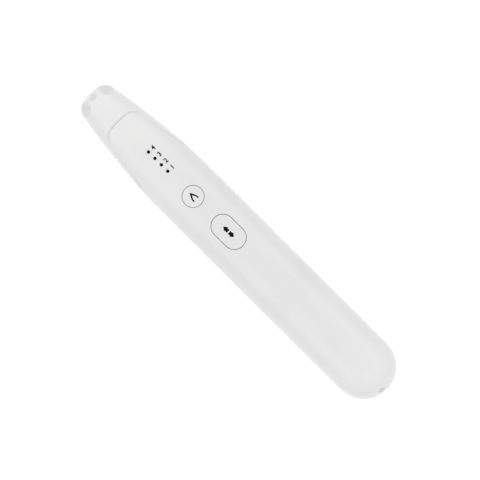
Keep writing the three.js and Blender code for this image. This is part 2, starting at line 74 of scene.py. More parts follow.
for obj in [obj for obj in bpy.data.objects if obj.type != "EMPTY" and "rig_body" not in obj]:
    bpy.data.objects.remove(obj)  # what a new file starts with
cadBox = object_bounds()
mm = 0.001  # shapes are worked out in millimetres, and each tree ends by scaling them to metres


# Node maths is written as expressions on sockets.
def operator(operation, swapped=False):
    def work(self, other):
        pair = (other, self) if swapped else (self, other)
        return self.net.math(operation, *pair)

    return work


class Signal:  # a socket that takes part in expressions
    def __init__(self, net, socket):
        self.net = net
        self.socket = socket

    __add__ = __radd__ = operator("ADD")
    __mul__ = __rmul__ = operator("MULTIPLY")
    __sub__ = operator("SUBTRACT")
    __rsub__ = operator("SUBTRACT", swapped=True)
    __truediv__ = operator("DIVIDE")
    __rtruediv__ = operator("DIVIDE", swapped=True)
    __pow__ = operator("POWER")
    __gt__ = operator("GREATER_THAN")
    __lt__ = operator("LESS_THAN")

    def __getitem__(self, name):  # another output of the same node
        return Signal(self.net, self.socket.node.outputs[name])

    def __abs__(self):
        return self.math("ABSOLUTE")

    def math(self, operation, *others):
        return self.net.math(operation, self, *others)

    def ramp(self, low, high, kind="LINEAR"):  # 0 to 1 as the signal goes from low to high
        values = {"Value": self, "From Min": low, "From Max": high}
        return self.net.add("ShaderNodeMapRange", values, interpolation_type=kind)

    def signedPower(self, power):
        return self.math("SIGN") * abs(self) ** power


class Network:
    def __init__(self, tree):
        self.tree = tree

    def add(self, kind, values=None, output=0, **settings):
        node = self.tree.nodes.new(kind)
        for name, value in settings.items():
            setattr(node, name, value)
        for key, value in (values or {}).items():
            self.plug(node.inputs[key], value)
        return Signal(self, node.outputs[output]) if node.outputs else node

    def plug(self, socket, value):
        for one in value if isinstance(value, list) else [value]:
            if isinstance(one, Signal):
                self.tree.links.new(one.socket, socket)
            else:
                socket.default_value = one

    def math(self, operation, *values):
        return self.add("ShaderNodeMath", dict(enumerate(values)), operation=operation)

    def place(self):  # x, y and z of what the tree is shaping
        split = self.add("ShaderNodeSeparateXYZ", {0: self.add("GeometryNodeInputPosition")})
        return split["X"], split["Y"], split["Z"]

    def vector(self, x, y, z):
        return self.add("ShaderNodeCombineXYZ", {0: x, 1: y, 2: z})

    def cube(self, size):
        return self.add("GeometryNodeMeshCube", {"Size": size})

    def moved(self, geometry, **how):
        return self.add("GeometryNodeTransform", {"Geometry": geometry, **how})


# A Geometry Nodes tree whose sizes are named inputs.
def newTree(name, sizes):
    tree = bpy.data.node_groups.new(name, "GeometryNodeTree")
    tree.interface.new_socket("geometry", in_out="INPUT", socket_type="NodeSocketGeometry")
    tree.interface.new_socket("geometry", in_out="OUTPUT", socket_type="NodeSocketGeometry")
    for label, value in sizes.items():
        kind = "NodeSocketInt" if isinstance(value, int) else "NodeSocketFloat"
        tree.interface.new_socket(label, in_out="INPUT", socket_type=kind).default_value = value
    net = Network(tree)
    entry = net.add("NodeGroupInput")
    return net, {label: entry[label] for label in ("geometry", *sizes)}


def endTree(net, geometry, material):
    scaled = net.moved(geometry, Scale=(mm, mm, mm))
    real = net.add("GeometryNodeRealizeInstances", {"Geometry": scaled})
    painted = net.add("GeometryNodeSetMaterial", {"Geometry": real, "Material": material})
    net.add("NodeGroupOutput", {0: painted})
    return net


def newObject(name, data=None):
    obj = bpy.data.objects.new(name, data or bpy.data.meshes.new(name))
    bpy.context.scene.collection.objects.link(obj)
    return obj


def settle(obj):  # turns what the modifiers make into the object's own mesh
    evaluated = obj.evaluated_get(bpy.context.evaluated_depsgraph_get())
    obj.data = bpy.data.meshes.new_from_object(evaluated)
    obj.modifiers.clear()
    return obj


def grow(obj, net, sizes):  # runs a tree on an object with the sizes given
    modifier = obj.modifiers.new("shape", "NODES")
    modifier.node_group = net.tree
    for item in net.tree.interface.items_tree:
        if item.in_out == "INPUT" and item.name in sizes:
            modifier[item.identifier] = sizes[item.name]
    return settle(obj)


def fromTree(name, makeTree, sizes):  # a new object that is all its tree's work
    return grow(newObject(name), makeTree(sizes), sizes)


def combine(obj, other, operation):
    modifier = obj.modifiers.new("combine", "BOOLEAN")
    modifier.object = other
    modifier.operation = operation
    modifier.solver = "EXACT"
    settle(obj)
    bpy.data.objects.remove(other)
    return obj


def smoothed(obj, sharpFrom=32):
    obj.data.shade_smooth()
    obj.data.set_sharp_from_angle(angle=math.radians(sharpFrom))
    return obj


# An object's body, its slot's finish or one of its own, and the nodes that it stands for.
def fit(obj, body, slot, *nodes, finish=None):
    obj.data.materials.clear()
    obj.data.materials.append(finish or finishes[slot])
    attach(obj, body)
    if nodes:
        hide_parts(*nodes)
    return obj


def middleOf(node):
    low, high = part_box(node)
    return (low + high) / 2 / mm


class Finish(Network):  # a material, with its sizes in millimetres
    def __init__(self, name, constants):
        self.material = bpy.data.materials.new(name)
        self.material.use_nodes = True
        super().__init__(self.material.node_tree)
        self.sockets = self.tree.nodes["Principled BSDF"].inputs
        for socket, value in constants.items():
            self.sockets[socket].default_value = value

    def onPiece(self, scale=(1, 1, 1)):  # where a point lies on its piece
        point = self.add("ShaderNodeTexCoord")["Object"]
        return self.add("ShaderNodeMapping", {"Vector": point, "Scale": scale})

    def noise(self, point, size, detail=2.0, roughness=0.5):
        values = {"Vector": point, "Scale": 1 / (size * mm), "Detail": detail, "Roughness": roughness}
        return self.add("ShaderNodeTexNoise", values)["Fac"]

    def cells(self, point, size, randomness=1.0):  # distance from the middle of a cell
        values = {"Vector": point, "Scale": 1 / (size * mm), "Randomness": randomness}
        return self.add("ShaderNodeTexVoronoi", values)["Distance"]

    def blend(self, share, *colours):
        first, second = [one if isinstance(one, Signal) else (*one, 1) for one in colours]
        return self.add("ShaderNodeMix", {0: share, 6: first, 7: second}, output=2, data_type="RGBA")

    def paint(self, colour, roughness):
        self.plug(self.sockets["Base Color"], colour)
        self.plug(self.sockets["Roughness"], roughness)

    def raised(self, height, depth, strength=1.0):
        values = {"Height": height, "Distance": depth * mm, "Strength": strength}
        self.plug(self.sockets["Normal"], self.add("ShaderNodeBump", values))


casePlastic = {
    "light": (0.665, 0.667, 0.662),
    "dark": (0.645, 0.647, 0.644),
    "roughness": 0.40,
    "grain": 0.16,  # size of the mould's fine texture
    # painted shade: a darker colour in the nose's cups, where the dents fall in shadow
    "cup": (0.585, 0.587, 0.583),
    # painted shade: a darker line on the nose along the panel's edge, where the seam's step falls in shadow
    "groove": (0.6, 0.602, 0.598),
}


def mouldedPlastic(name, look, marks=()):
    finish = Finish(name, {"IOR": 1.47})
    point = finish.onPiece()
    cloud = finish.noise(point, 22.0, detail=3.0)
    flow = finish.noise(finish.onPiece((0.25, 1, 1)), 5.0)  # faint flow lines along the wand
    grain = finish.noise(point, look["grain"], detail=3.0, roughness=0.6)
    share = (cloud * 0.7 + flow * 0.3).ramp(0.35, 0.65)
    colour = finish.blend(share, look["dark"], look["light"])
    for mark in marks:  # places marked on the mesh get painted shade, a darker colour
        paintedShade = finish.add("ShaderNodeAttribute", attribute_name=mark)["Fac"].ramp(0.0, 0.6, "SMOOTHSTEP")
        colour = finish.blend(paintedShade, colour, look[mark])
    finish.paint(colour, look["roughness"] + (grain - 0.5) * 0.12 + (cloud - 0.5) * 0.05)
    finish.raised(grain, 0.012, 0.5)
    return finish.material


def mottled(name, constants, grain, colours, roughness, spread=(0.3, 0.7), bump=None, detail=3.0):
    finish = Finish(name, constants)
    mottle = finish.noise(finish.onPiece(), grain, detail=detail)
    finish.paint(finish.blend(mottle.ramp(*spread), *colours), roughness[0] + mottle * roughness[1])
    if bump:
        finish.raised(mottle, *bump)
    return finish.material


def glossBlack(name, colour, roughness):
    shine = {"IOR": 1.5, "Specular IOR Level": 0.15}
    return mottled(name, shine, 1.4, (colour, [2 * c for c in colour]), (roughness, 0.1), (0, 1))


def printingInk(name):
    dull = {"IOR": 1.45, "Specular IOR Level": 0.08}
    blacks = ((0.002,) * 3, (0.006,) * 3)
    return mottled(name, dull, 0.09, blacks, (0.5, 0.2), bump=(0.006, 0.4), detail=2.0)


def chipEpoxy(name):
    blacks = ((0.011,) * 3, (0.03,) * 3)
    return mottled(name, {"IOR": 1.5}, 0.07, blacks, (0.45, 0.25), (0.4, 0.8), (0.01, 0.6))


def softPolymer(name, colour, roughness, grain, depth):  # nylon, silicone, film and wire sleeves
    colours = ([0.86 * c for c in colour], colour)
    return mottled(name, {"IOR": 1.47}, grain, colours, (roughness - 0.075, 0.15), bump=(depth, 0.5))


def drawnMetal(name, colour, roughness, along=(0.06, 1, 1)):
    finish = Finish(name, {"Metallic": 1.0})
    streak = finish.noise(finish.onPiece(along), 0.25, detail=4.0, roughness=0.65)
    share = streak * 0.6 + finish.noise(finish.onPiece(), 4.0) * 0.4
    darker = [0.82 * c for c in colour]
    finish.paint(finish.blend(share.ramp(0.3, 0.7), darker, colour), roughness + (streak - 0.5) * 0.18)
    finish.raised(streak, 0.004, 0.5)
    return finish.material


def solderMask(name):  # green varnish over tracks that run along and across, with tinned vias
    finish = Finish(name, {"IOR": 1.5})
    point = finish.onPiece()
    split = finish.add("ShaderNodeSeparateXYZ", {0: point})
    bend = finish.noise(point, 6.0, detail=0.0).math("SNAP", 0.18)
    run = ((split["Y"] / (0.9 * mm) + bend * 5) * math.tau).math("SINE").ramp(0.55, 0.75)
    cross = ((split["X"] / (1.3 * mm) + bend * 4) * math.tau).math("SINE").ramp(0.7, 0.85)
    region = finish.noise(point, 9.0, detail=0.0) > 0.52
    track = run * region + cross * (1 - region)
    via = finish.cells(point, 3.1, 0.9) < 0.11
    green = finish.blend(track, (0.006, 0.085, 0.032), (0.014, 0.17, 0.062))
    finish.paint(finish.blend(via, green, (0.62, 0.6, 0.52)), 0.26 + track * 0.08)
    finish.plug(finish.sockets["Metallic"], via)
    finish.raised(track + via, 0.03, 0.6)
    return finish.material


def sinteredFerrite(name):
    finish = Finish(name, {"IOR": 1.9})
    point = finish.onPiece()
    crystal = finish.cells(point, 0.35)
    pit = finish.noise(point, 0.9, detail=4.0).ramp(0.62, 0.7)
    colour = finish.blend(crystal.ramp(0.1, 0.8), (0.022, 0.022, 0.025), (0.045, 0.045, 0.05))
    finish.paint(colour, 0.5 + pit * 0.3)
    finish.raised(crystal - pit, 0.03, 0.6)
    return finish.material


def pouchFoil(name):  # aluminium laminate with a fine diamond emboss
    finish = Finish(name, {"Metallic": 0.75})
    point = finish.onPiece()
    split = finish.add("ShaderNodeSeparateXYZ", {0: point})
    pitch = 0.8 * mm / math.tau
    rise = ((split["X"] + split["Y"]) / pitch).math("SINE")
    fall = ((split["X"] - split["Y"]) / pitch).math("SINE")
    crease = finish.noise(point, 7.0, detail=5.0, roughness=0.65)
    colour = finish.blend(crease.ramp(0.35, 0.65), (0.43, 0.45, 0.48), (0.56, 0.58, 0.6))
    finish.paint(colour, 0.3 + crease * 0.2)
    finish.raised(rise * fall * 0.15 + crease, 0.18, 0.7)
    return finish.material


def openFoam(name):
    finish = Finish(name, {"IOR": 1.4})
    pore = finish.cells(finish.onPiece(), 0.55)
    colour = finish.blend(pore.ramp(0.05, 0.6), (0.02, 0.021, 0.023), (0.1, 0.105, 0.115))
    finish.paint(colour, 0.85 + pore * 0.1)
    finish.raised(pore, 0.25)
    return finish.material


def enamelledCopper(name):
    finish = Finish(name, {"Metallic": 1.0, "Coat Roughness": 0.12})
    tint = finish.noise(finish.onPiece(), 3.0)
    finish.paint(finish.blend(tint, (0.5, 0.17, 0.05), (0.72, 0.29, 0.1)), 0.22 + tint * 0.12)
    finish.plug(finish.sockets["Coat Weight"], 0.5 + tint * 0.3)
    return finish.material


finishes = {
    "case_plastic": mouldedPlastic("satinCasePlastic", casePlastic),
    "key_plastic": mouldedPlastic("satinKeyPlastic", {**casePlastic, "roughness": 0.36, "grain": 0.11}),
    "smoked_plastic": glossBlack("smokedLightGuide", (0.004, 0.004, 0.005), 0.12),
    "silicone": softPolymer("greySilicone", (0.5, 0.51, 0.52), 0.6, 0.5, 0.02),
    "lamp_resin": softPolymer("lampResin", (0.88, 0.84, 0.55), 0.25, 0.6, 0.01),
    "board": solderMask("greenSolderMask"),
    "chip_plastic": chipEpoxy("chipEpoxy"),
    "natural_plastic": softPolymer("naturalNylon", (0.8, 0.76, 0.66), 0.45, 0.4, 0.015),
    "ferrite": sinteredFerrite("sinteredFerrite"),
    "copper": enamelledCopper("enamelledCopper"),
    "steel": drawnMetal("drawnSteel", (0.6, 0.61, 0.63), 0.3),
    "foil": pouchFoil("pouchFoil"),
    "foam": openFoam("batteryFoam"),
    "amber_film": softPolymer("amberFilm", (0.55, 0.22, 0.03), 0.28, 0.8, 0.01),
    "red_sleeve": softPolymer("redWireSleeve", (0.5, 0.03, 0.02), 0.42, 0.3, 0.01),
    "black_sleeve": softPolymer("blackWireSleeve", (0.012, 0.012, 0.012), 0.42, 0.3, 0.01),
}
nosePlastic = mouldedPlastic("satinNosePlastic", casePlastic, ("cup", "groove"))
frostedPlastic = softPolymer("frostedWindow", (0.57, 0.57, 0.56), 0.4, 0.3, 0.01)
ink = printingInk("blackInk")
print("finishes:", len(finishes) + 3)


# One rule shapes the whole case: a superellipse section that tapers to the tip and closes round the tail.
skin = {
    "length": 2 * cadBox[1].x / mm,
    "halfWidth": cadBox[1].y / mm,
    "halfHeight": 10.5,
    "axisHeight": 10.5,
    "bottomDepth": 10.9,  # the lower half is deeper and then cut flat where the wand lies
    "topPower": 2.4,
    "bottomPower": 2.6,
    "taperEnd": 58.0,
    "taperPower": 2.21,
    "widthShrink": 0.416,
    "heightShrink": 0.33,
    "tipRound": 5.0,
    "tipPower": 2.5,
    "wall": 1.6,
    "seamGap": 0.1,
    "noseStep": 0.35,  # how far the nose lies below the panel
}

# The raised panel's edge, which the upper shell ends at and the nose keeps clear of.
panelEdge = {
    "front": 16.95,
    "corner": 9.0,
    "cornerPower": 2.7,
    "sideAngle": math.radians(39),
    "fadeStart": 26.0,
    "fadeEnd": 62.0,
    "gap": 0.01,
    "fromAxis": 11.0,  # about how far from the axis the skin lies
}
noseEnd = 41.5


def taperAt(station, shrink):
    front = (1 - station / skin["taperEnd"]).math("MAXIMUM", 0)
    return 1 - shrink * front ** skin["taperPower"]


# A point of the skin at a station from the tip and an angle round the axis, taken in by inset.
def skinPoint(net, station, angle, inset, lift):
    tip = (1 - station / skin["tipRound"]).math("MAXIMUM", 0)
    tail = (1 - (skin["length"] - station) / skin["halfWidth"]).math("MAXIMUM", 0)
    power = skin["tipPower"]
    closing = (1 - tip ** power).math("MAXIMUM", 0) ** (1 / power)
    closing = closing * (1 - tail * tail).math("MAXIMUM", 0).math("SQRT")
    sine = angle.math("SINE")
    up = sine > 0
    bend = up * (2 / skin["topPower"] - 2 / skin["bottomPower"]) + 2 / skin["bottomPower"]
    depth = up * (skin["halfHeight"] - skin["bottomDepth"]) + skin["bottomDepth"]
    width = (skin["halfWidth"] * taperAt(station, skin["widthShrink"]) - inset) * closing
    height = (depth * taperAt(station, skin["heightShrink"]) - inset) * closing
    x = station - skin["length"] / 2 + inset * (tip - tail)
    y = width * angle.math("COSINE").signedPower(bend)
    z = skin["axisHeight"] + lift + height * sine.signedPower(bend)
    return net.vector(x, y, z.math("SMOOTH_MAX", inset, 0.3))


def sideEdge(size, station):  # angle of the panel's side edge, down to the parting line at the end
    return size["sideAngle"] * (1 - station.ramp(size["fadeStart"], size["fadeEnd"], "SMOOTHSTEP"))


def lowerSideEdge(size, station):  # the same edge on the pieces below it, clear of it by the panel gap
    share = size["gap"] / skin["halfHeight"] / size["sideAngle"]
    fade = station.ramp(size["front"], size["front"] + size["corner"] / 2, "SMOOTHSTEP")
    return sideEdge(size, station) * (1 - share * fade)


def frontEdge(size, side):  # station of the panel's front edge, across side = -1 to 1
    power = size["cornerPower"]
    closing = (1 - abs(side) ** power).math("MAXIMUM", 0) ** (1 / power)
    return size["front"] + size["corner"] * (1 - closing)


lastFace = 0.9999  # a share of the way that only the last row of faces passes


# A flat slab of two layers, bent into a wall: x runs along the wand, y round it, z from inside to outside.
def slab(net, size, rows="rows"):
    values = {"Vertices X": size[rows], "Vertices Y": size["columns"], "Vertices Z": 2}
    mesh = net.add("GeometryNodeMeshCube", values)
    x, y, z = net.place()
    return mesh, x + 0.5, y * 2, 0.5 - z


def dropFaces(net, mesh, chosen):
    values = {"Geometry": mesh, "Selection": chosen}
    return net.add("GeometryNodeDeleteGeometry", values, domain="FACE")


def bent(net, mesh, point):
    return net.add("GeometryNodeSetPosition", {"Geometry": mesh, "Position": point})


def welded(net, meshes):
    whole = net.add("GeometryNodeJoinGeometry", {0: meshes})
    return net.add("GeometryNodeMergeByDistance", {"Geometry": whole, "Distance": 0.0008})


def rolled(size, layer, distance):  # inset of a layer, its outer rim rolled over near the edge
    radius = size["roll"]
    short = (radius - distance).math("MAXIMUM", 0)
    roll = radius - (radius * radius - short * short).math("MAXIMUM", 0).math("SQRT")
    return layer * size["wall"] + (1 - layer) * roll


# Stations of the rows: over the taper, evenly along the straight part, then round the tail.
def stationAlong(size, along, front, power, stops=()):
    share, reached = size["taperRows"], skin["taperEnd"]
    station = front + (reached - front) * along.ramp(0, share) ** power
    for nextShare, end in (*stops, (size["straightRows"], skin["length"] - skin["halfWidth"])):
        station = station + (end - reached) * along.ramp(share, nextShare)
        share, reached = nextShare, end
    turn = along.ramp(share, 1) * (math.pi / 2)
    return station + skin["halfWidth"] * turn.math("SINE")


def slanted(distance, side):  # the front edge slants at the sides, so it is nearer there
    return distance * (1 - 0.6 * abs(side) ** 3)


upperShell = {
    **panelEdge,
    "rows": 210,
    "columns": 121,
    "roll": 0.2,
    "wall": skin["wall"],
    "keysEnd": 92.0,
    "taperRows": 0.42,  # share of the rows from the front to the end of the taper
    "keyRows": 0.64,
    "straightRows": 0.76,
}


def upperShellTree(sizes):
    net, size = newTree("upperShellShape", sizes)
    mesh, along, across, layer = slab(net, size)
    mesh = dropFaces(net, mesh, along > lastFace)
    side = across.math("SIGN") * (1 - (1 - abs(across)) ** 1.5)
    front = frontEdge(size, side)
    station = stationAlong(size, along, front, 1.6, [(size["keyRows"], size["keysEnd"])])
    edge = sideEdge(size, station)
    angle = math.pi / 2 - side * (math.pi / 2 - edge)
    fromSide = (1 - abs(side)) * (math.pi / 2 - edge) * size["fromAxis"]
    inset = rolled(size, layer, slanted(station - front, side).math("MINIMUM", fromSide))
    shape = bent(net, mesh, skinPoint(net, station, angle, inset, skin["seamGap"] / 2))
    return endTree(net, welded(net, [shape]), finishes["case_plastic"])


lowerShell = {
    **panelEdge,
    "rows": 150,
    "columns": 131,
    "roll": 0.2,
    "wall": skin["wall"],
    "behindNose": 0.12,
    "taperRows": 0.3,
    "straightRows": 0.6,
}


def lowerShellTree(sizes):
    net, size = newTree("lowerShellShape", sizes)
    mesh, along, across, layer = slab(net, size)
    mesh = dropFaces(net, mesh, along > lastFace)
    side = across.math("SIGN") * (1 - (1 - abs(across)) ** 1.4)
    start = noseEnd + size["behindNose"]
    station = stationAlong(size, along, start, 1.5)
    edge = lowerSideEdge(size, station)
    angle = edge - (side + 1) / 2 * (math.pi + 2 * edge)
    fromSide = (1 - abs(side)) * (math.pi / 2 + edge) * size["fromAxis"]
    inset = rolled(size, layer, (station - start).math("MINIMUM", fromSide))
    shape = bent(net, mesh, skinPoint(net, station, angle, inset, -skin["seamGap"] / 2))
    return endTree(net, welded(net, [shape]), finishes["case_plastic"])


noseCap = {
    **panelEdge,
    "frontRows": 97,
    "underRows": 161,
    "frontShare": 0.6,  # of those rows, the ones beside the closed front
    "columns": 145,
    "fromAxis": 10.0,
    "roll": 0.14,
    "wall": skin["wall"],
    "cheekStation": 3.9,  # four big cups, above and below each side
    "cheekReach": 3.3,
    "cheekRise": math.radians(39),
    "cheekTurn": math.radians(31),
    "cheekDepth": 1.15,
    "dimpleStation": 2.4,  # two small ones between them, on top and underneath
    "dimpleReach": 1.6,
    "dimpleRise": math.radians(90),
    "dimpleTurn": math.radians(12),
    "dimpleDepth": 0.45,
    "groove": 0.95,  # width of the painted shade line on the nose beside the panel
}


# A cup in the tip as a share of its depth. It comes again on each side and below.
def cupShare(size, name, station, angle):
    rise = abs(angle.math("SINE")).math("ARCSINE")
    around = (rise - size[name + "Rise"]) / size[name + "Turn"]
    along = (station - size[name + "Station"]) / size[name + "Reach"]
    return (1 - around * around - along * along).math("MAXIMUM", 0) ** 0.8


def noseWall(net, mesh, size, station, angle, layer, fromPanel, fromEnd=9.0):
    step = skin["noseStep"] * (1 - station.ramp(size["fadeStart"], noseEnd, "SMOOTHSTEP"))
    cheek = cupShare(size, "cheek", station, angle)
    dimple = cupShare(size, "dimple", station, angle)
    depth = size["cheekDepth"] * cheek + size["dimpleDepth"] * dimple
    depth = depth * station.ramp(0, 0.7, "SMOOTHSTEP") * (1 - layer)
    inset = step + rolled(size, layer, fromPanel.math("MINIMUM", fromEnd)) + depth
    # a band of painted shade along the panel's edge, darkest at the edge
    groove = 1 - (fromPanel / size["groove"]).ramp(0.6, 1, "SMOOTHSTEP")
    # the cup and seam marks carry painted shade into the colour
    for name, shade in (("cup", cheek + 0.7 * dimple), ("groove", groove)):
        marks = {"Geometry": mesh, "Name": name, "Value": shade * (1 - layer)}
        mesh = net.add("GeometryNodeStoreNamedAttribute", marks, data_type="FLOAT", domain="POINT")
    return bent(net, mesh, skinPoint(net, station, angle, inset, -skin["seamGap"] / 2))


def eased(share):  # close steps at both ends
    return share * share * (3 - 2 * share)


def noseCapTree(sizes):
    net, size = newTree("noseCapShape", sizes)
    corner = size["front"] + size["corner"] - size["gap"]

    mesh, along, side, layer = slab(net, size, "frontRows")
    edges = (along < 1 - lastFace).math("MAXIMUM", abs(side) > lastFace)
    mesh = dropFaces(net, mesh, edges)
    reach = frontEdge(size, side) - size["gap"]
    station = reach * eased(along)
    angle = math.pi / 2 - side * (math.pi / 2 - lowerSideEdge(size, station))
    over = noseWall(net, mesh, size, station, angle, layer, slanted(reach - station, side))

    mesh, along, side, layer = slab(net, size, "underRows")
    beside = (abs(side) > lastFace) * (along < size["frontShare"])
    mesh = dropFaces(net, mesh, beside.math("MAXIMUM", along < 1 - lastFace))
    back = along.ramp(size["frontShare"], 1) * (math.pi / 2)
    station = corner * eased(along.ramp(0, size["frontShare"])) + (noseEnd - corner) * back.math("SINE")
    edge = lowerSideEdge(size, station)
    angle = edge - (side + 1) / 2 * (math.pi + 2 * edge)
    fromSide = (1 - abs(side)) * (math.pi / 2 + edge) * size["fromAxis"]
    fromCorner = (corner - station).math("MAXIMUM", 0)
    fromPanel = (fromSide * fromSide + fromCorner * fromCorner).math("SQRT")
    under = noseWall(net, mesh, size, station, angle, layer, fromPanel, noseEnd - station)

    return endTree(net, welded(net, [over, under]), nosePlastic)


# Lifts what is marked onSkin by the height of the upper skin under it, after dividing it finely enough.
def drapeTree(material):
    net, size = newTree("layOnSkin", {"divisions": 0})
    mesh = net.add("GeometryNodeSubdivideMesh", {"Mesh": size["geometry"], "Level": size["divisions"]})
    x, y = net.place()[:2]
    station = x + skin["length"] / 2
    width = skin["halfWidth"] * taperAt(station, skin["widthShrink"])
    height = skin["halfHeight"] * taperAt(station, skin["heightShrink"])
    power = skin["topPower"]
    across = abs(y / width) ** power
    top = height * (1 - across).math("MAXIMUM", 0) ** (1 / power)
    top = skin["axisHeight"] + skin["seamGap"] / 2 + top
    onSkin = net.add("GeometryNodeInputNamedAttribute", {"Name": "onSkin"}, data_type="FLOAT")
    moved = {"Geometry": mesh, "Offset": net.vector(0, 0, top * onSkin)}
    shape = net.add("GeometryNodeSetPosition", moved)
    return endTree(net, welded(net, [shape]), material)


def slotOutline(length, width, grown, steps):  # a slot's outline, or a circle's where both sizes are equal
    reach = (length - width) / 2
    radius = max(width / 2 + grown, 0)
    points = []
    for side in (1, -1):
        for k in range(steps + 1):
            turn = math.pi * (k / steps - side / 2)
            points.append((side * reach + radius * math.cos(turn), radius * math.sin(turn)))
    return points


def joinRings(mesh, rings):
    for below, above in zip(rings, rings[1:]):
        for k in range(len(below)):
            after = (k + 1) % len(below)
            mesh.faces.new((below[k], below[after], above[after], above[k]))
    return mesh


# A solid of rings: each ring is the slot's outline grown by an amount, at a height, on the skin or not.
def ringSolid(mesh, centre, length, width, rings, steps=24):
    onSkin = mesh.verts.layers.float.get("onSkin") or mesh.verts.layers.float.new("onSkin")
    made = []
    for grown, z, mark in rings:
        outline = slotOutline(length, width, grown, steps)
        ring = [mesh.verts.new((centre[0] + x, centre[1] + y, z)) for x, y in outline]
        for vert in ring:
            vert[onSkin] = mark
        made.append(ring)
    return joinRings(mesh, made)


def closed(mesh):
    bmesh.ops.remove_doubles(mesh, verts=mesh.verts, dist=0.0005)
    bmesh.ops.dissolve_degenerate(mesh, edges=mesh.edges, dist=0.0001)
    bmesh.ops.recalc_face_normals(mesh, faces=mesh.faces)
    return mesh


def toObject(name, mesh):
    data = bpy.data.meshes.new(name)
    closed(mesh).to_mesh(data)
    mesh.free()
    return newObject(name, data)


def inMetres(name, mesh):
    obj = toObject(name, mesh)
    obj.data.transform(Matrix.Scale(mm, 4))
    return obj


def draped(name, mesh, material, divisions=0):
    return grow(toObject(name, mesh), drapeTree(material), {"divisions": divisions})


def crown(width, proud, edge, arcSteps=6):  # rings from the middle of a key's top over its rounded edge
    rings = [(-width / 2 * share, proud, 1) for share in (1, 0.8, 0.6, 0.42, 0.27, 0.16)]
    for k in range(arcSteps + 1):
        turn = math.pi / 2 * k / arcSteps
        rings.append((edge * (math.sin(turn) - 1), proud - edge + edge * math.cos(turn), 1))
    return rings


def apertureRings(piece, width, depth=3.2):  # a cutter that leaves a rolled edge
    gap, flare = piece["gap"], piece["flare"]
    rings = [(-width / 2, -depth, 1), (gap, -depth, 1)]
    for k in range(7):
        turn = math.radians(80) * k / 6
        rings.append((gap + flare * (1 - math.cos(turn)), flare * (math.sin(turn) - 1) + 0.004, 1))
    return rings + [(gap + 3 * flare, 0.5, 1), (-width / 2, 0.5, 1)]


scanKey = {
    "centre": middleOf("scan_key"),
    "diameter": 8.84,
    "proud": 0.1,
    "edge": 0.28,
    "gap": 0.14,
    "flare": 0.18,  # how far the hole's rim is rolled over
    "flange": 11.0,
    "flangeTop": 18.6,
    "stemRadius": 1.3,
    "travel": 0.3,  # room over the snap dome, which doesn't bend here
}
modeKey = {
    "centre": middleOf("mode_key"),
    "length": 16.0,
    "width": 9.56,
    "proud": 0.12,
    "edge": 0.36,
    "gap": 0.16,
    "flare": 0.22,
    "plateBottom": 19.1,
    "lugs": (3.1, 4.6),  # inner and outer face of each, from the middle
    "lugBottom": 17.45,
    "lugReach": 1.3,
    "foot": 1.2,
    "bore": 0.7,
    "travel": 0.35,
}
lamps = {
    "stations": sorted(middleOf(f"lamp_{number}").x for number in (1, 2, 3, 4)),
    "diameter": 1.26,
    "gap": 0.08,
    "flare": 0.1,
    "barLow": (-1.4, -1.3, 17.6),  # the bar's corners, from the first and the last lamp
    "barHigh": (1.4, 1.3, 18.4),
}
chargeWindow = {"centre": middleOf("charge_window"), "diameter": 2.2, "gap": 0.1, "sunk": 0.15, "dish": 1.9}


def tailEnd(y, z):  # how far along the tail's rounding a line at y and z leaves the upper skin
    power = skin["topPower"]
    rise = z - skin["axisHeight"] - skin["seamGap"] / 2
    closing = abs(y / skin["halfWidth"]) ** power + abs(rise / skin["halfHeight"]) ** power
    turn = math.sqrt(max(0, 1 - closing ** (2 / power)))
    return skin["length"] / 2 - skin["halfWidth"] * (1 - turn)


def roundBar(mesh, start, radius, y, z, end, steps=32, rings=5):  # along the wand as far as end(y, z)
    shares = [0] + [1] * 2 + [k / rings for k in range(rings - 1, -1, -1)]
    made = []
    for k, share in enumerate(shares):
        ring = []
        for j in range(steps):
            turn = math.tau * j / steps
            ringY = y + radius * share * math.cos(turn)
            ringZ = z + radius * share * math.sin(turn)
            ring.append(mesh.verts.new((start if k < 2 else end(ringY, ringZ), ringY, ringZ)))
        made.append(ring)
    return joinRings(mesh, made)


def upperShellCutter():
    mesh = bmesh.new()
    diameter = scanKey["diameter"]
    ringSolid(mesh, scanKey["centre"], diameter, diameter, apertureRings(scanKey, diameter), 40)
    length, width = modeKey["length"], modeKey["width"]
    ringSolid(mesh, modeKey["centre"], length, width, apertureRings(modeKey, width), 28)
    diameter = lamps["diameter"]
    for x in lamps["stations"]:
        ringSolid(mesh, (x, 0), diameter, diameter, apertureRings(lamps, diameter, 3.0), 10)
    centre = chargeWindow["centre"]
    radius = chargeWindow["diameter"] / 2 + chargeWindow["gap"]
    roundBar(mesh, centre.x, radius, centre.y, centre.z, lambda y, z: skin["length"] / 2 + 2)
    return draped("cutter", mesh, finishes["case_plastic"])


def windowDish():  # a shallow dish round the charge lamp's hole
    centre = chargeWindow["centre"]
    mesh = bmesh.new()
    place = Matrix.Translation((tailEnd(centre.y, centre.z) + 1.35, centre.y, centre.z + 0.7))
    bmesh.ops.create_icosphere(mesh, subdivisions=4, radius=chargeWindow["dish"], matrix=place)
    return inMetres("dish", mesh)


def box(mesh, low, high, bevel=0.0):
    centre = [(a + b) / 2 for a, b in zip(low, high)]
    size = [b - a for a, b in zip(low, high)]
    matrix = Matrix.Translation(centre) @ Matrix.Diagonal((*size, 1))
    made = bmesh.ops.create_cube(mesh, size=1, matrix=matrix)["verts"]
    if bevel:
        edges = list({edge for vert in made for edge in vert.link_edges})
        bmesh.ops.bevel(mesh, geom=edges, offset=bevel, segments=3, profile=0.5, affect="EDGES")
    return mesh


def cylinder(mesh, centre, radius, low, high, steps=32):
    matrix = Matrix.Translation((centre[0], centre[1], (low + high) / 2))
    bmesh.ops.create_cone(
        mesh, cap_ends=True, segments=steps, radius1=radius, radius2=radius, depth=high - low, matrix=matrix
    )
    return mesh


